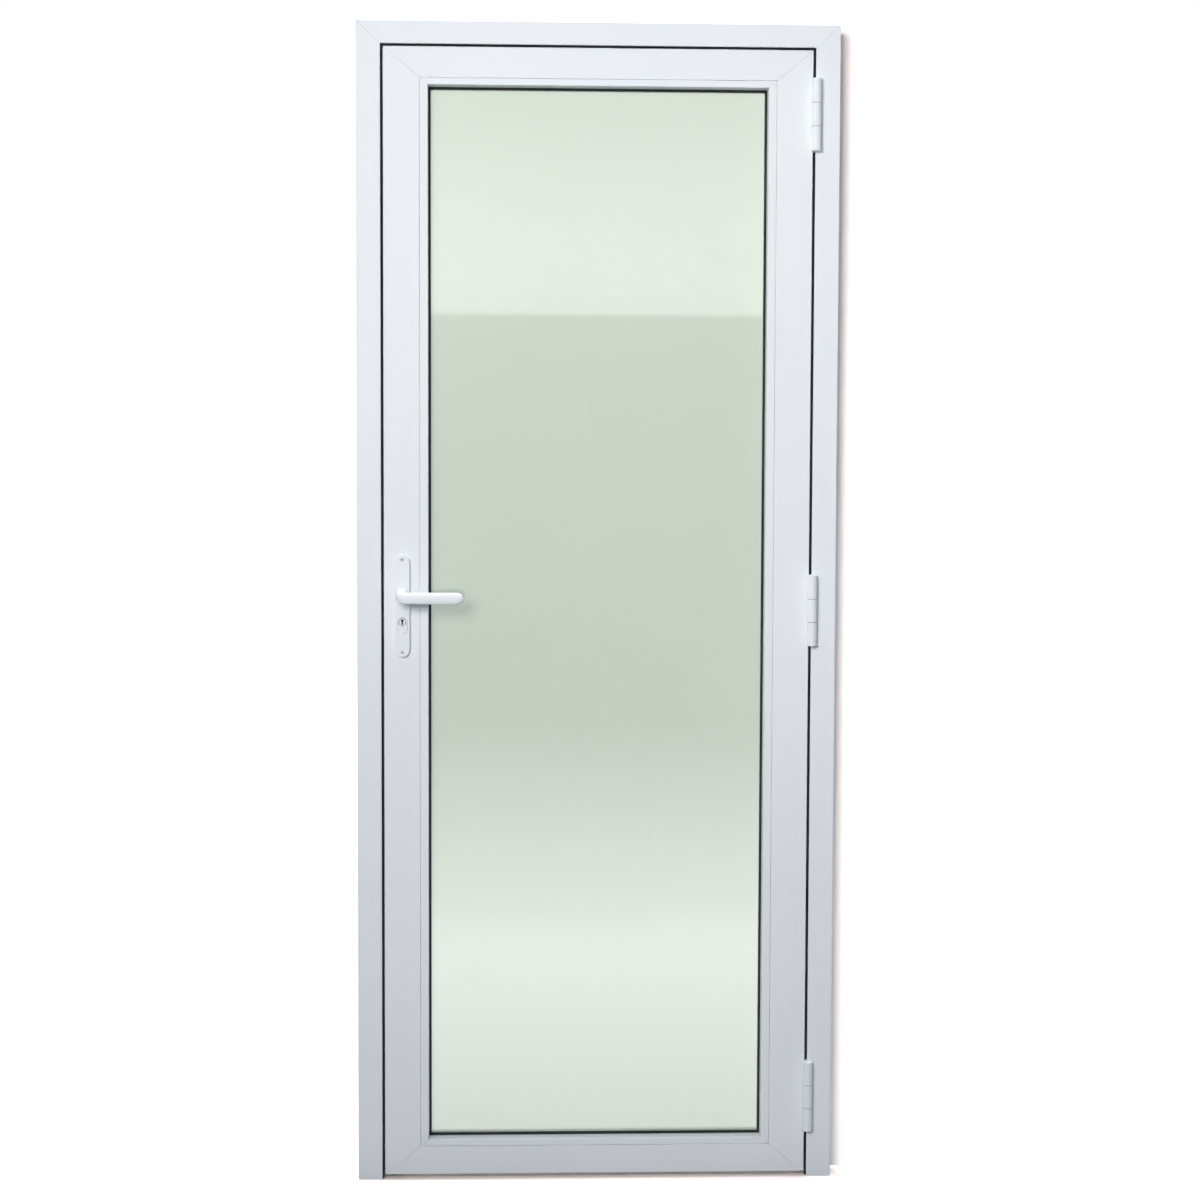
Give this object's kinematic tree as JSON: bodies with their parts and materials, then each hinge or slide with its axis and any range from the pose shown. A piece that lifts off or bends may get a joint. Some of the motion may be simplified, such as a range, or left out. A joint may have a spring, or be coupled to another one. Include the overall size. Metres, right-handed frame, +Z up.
{
  "type": "hinged glass door",
  "caption": "Full-height glass door of white aluminium with its frame: leaf on barrel hinges, lever handles on narrow plates, latch and key-turned deadbolt.",
  "frame": {"origin": "floor level, middle of the frame's width, on the middle plane of the leaf between the two levers", "axes": "+Z up, +X from the lock side to the hinge side as seen from inside, +Y from the inside to the outside; the leaf opens toward -Y"},
  "size_m": [0.87, 0.149, 2.103],
  "materials": {
    "white_coat": "satin",
    "mill_aluminium": "matte",
    "bright_steel": "satin",
    "nickel_brass": "satin",
    "black_rubber": "matte",
    "dark_nylon": "matte",
    "green_glass": "gloss"
  },
  "bodies": {
    "frame": {"frame_lock_jamb": "white_coat", "frame_hinge_jamb": "white_coat", "frame_head": "white_coat", "frame_corner_cleats": "mill_aluminium", "frame_stop_seal": "black_rubber", "strike_plate": "bright_steel", "strike_blocks": "mill_aluminium", "strike_screws": "bright_steel", "hinge_top_frame_wing": "white_coat", "hinge_mid_frame_wing": "white_coat", "hinge_low_frame_wing": "white_coat", "hinge_top_pin": "bright_steel", "hinge_mid_pin": "bright_steel", "hinge_low_pin": "bright_steel", "hinge_caps": "white_coat", "hinge_frame_blocks": "mill_aluminium", "hinge_frame_screws": "bright_steel"},
    "leaf": {"leaf_lock_stile": "white_coat", "leaf_hinge_stile": "white_coat", "leaf_top_rail": "white_coat", "leaf_bottom_rail": "white_coat", "leaf_corner_cleats": "mill_aluminium", "glass_pane": "green_glass", "bead_lock_side": "white_coat", "bead_hinge_side": "white_coat", "bead_top": "white_coat", "bead_bottom": "white_coat", "inner_gasket": "black_rubber", "outer_gasket": "black_rubber", "setting_blocks": "dark_nylon", "hinge_top_leaf_wing": "white_coat", "hinge_mid_leaf_wing": "white_coat", "hinge_low_leaf_wing": "white_coat", "hinge_bushes": "dark_nylon", "hinge_leaf_blocks": "mill_aluminium", "hinge_leaf_screws": "bright_steel", "lock_case": "bright_steel", "lock_cover": "bright_steel", "lock_forend": "bright_steel", "forend_blocks": "mill_aluminium", "forend_screws": "bright_steel", "latch_spring": "bright_steel", "cylinder_body": "nickel_brass", "cylinder_screw": "bright_steel", "inside_plate": "white_coat", "outside_plate": "white_coat", "plate_screws": "bright_steel"},
    "handle_set": {"inside_lever": "white_coat", "outside_lever": "white_coat", "spindle": "bright_steel", "follower": "bright_steel", "lever_grub_screws": "bright_steel"},
    "latch": {"latch_bolt": "bright_steel"},
    "bolt": {"deadbolt": "bright_steel"},
    "cylinder_core": {"inside_plug": "nickel_brass", "outside_plug": "nickel_brass", "lock_cam": "bright_steel"}
  },
  "joints": [
    {"name": "door_swing", "type": "hinge", "parent": "frame", "child": "leaf", "pos_m": [0.391, -0.0318, 1.05], "axis": [0, 0, 1], "range_deg": [0, 170]},
    {"name": "handle_turn", "type": "hinge", "parent": "leaf", "child": "handle_set", "pos_m": [-0.3525, 0, 1.081], "axis": [0, 1, 0], "range_deg": [0, 40], "stiffness_Nm_per_rad": 1, "springref_deg": -28.65},
    {"name": "latch_slide", "type": "slide", "parent": "leaf", "child": "latch", "axis": [1, 0, 0], "range_m": [0, 0.011], "deforming": ["latch_spring"]},
    {"name": "cylinder_turn", "type": "hinge", "parent": "leaf", "child": "cylinder_core", "pos_m": [-0.3525, 0, 1.028], "axis": [0, -1, 0], "range_deg": [0, 360]},
    {"name": "deadbolt_slide", "type": "slide", "parent": "leaf", "child": "bolt", "axis": [-1, 0, 0], "range_m": [0, 0.0125]}
  ],
  "couplings": [
    {"joint": "latch_slide", "follows": "handle_turn", "m_per_rad": 0.015756},
    {"joint": "cylinder_turn", "follows": "deadbolt_slide", "rad_per_m": 502.65}
  ]
}
